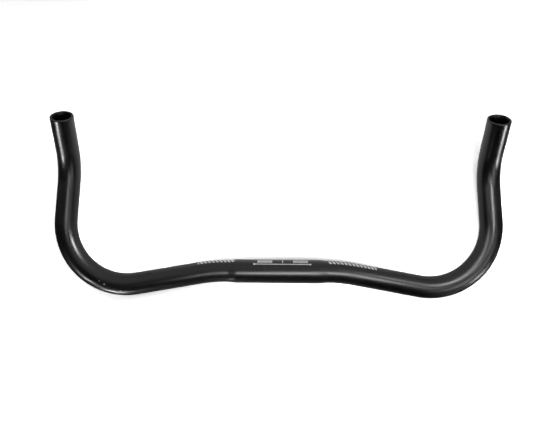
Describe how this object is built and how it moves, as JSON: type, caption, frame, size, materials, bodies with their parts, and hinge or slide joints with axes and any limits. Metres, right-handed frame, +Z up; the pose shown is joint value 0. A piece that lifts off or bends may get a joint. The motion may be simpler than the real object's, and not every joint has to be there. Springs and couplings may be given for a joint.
{
  "type": "handlebar",
  "caption": "Bullhorn bar bent from one black aluminium tube, with a thicker clamp zone, forward horns and raised open ends.",
  "frame": {"origin": "middle of the clamp zone, on the tube's axis", "axes": "+X along the clamp zone towards the rider's right hand, +Y forward towards the open ends, +Z up, the way the ends rise"},
  "size_m": [0.4856, 0.195, 0.0591],
  "materials": {
    "tube": "black anodised, satin to semi-gloss"
  },
  "bodies": {
    "root": {"handlebar": "tube"}
  },
  "joints": []
}
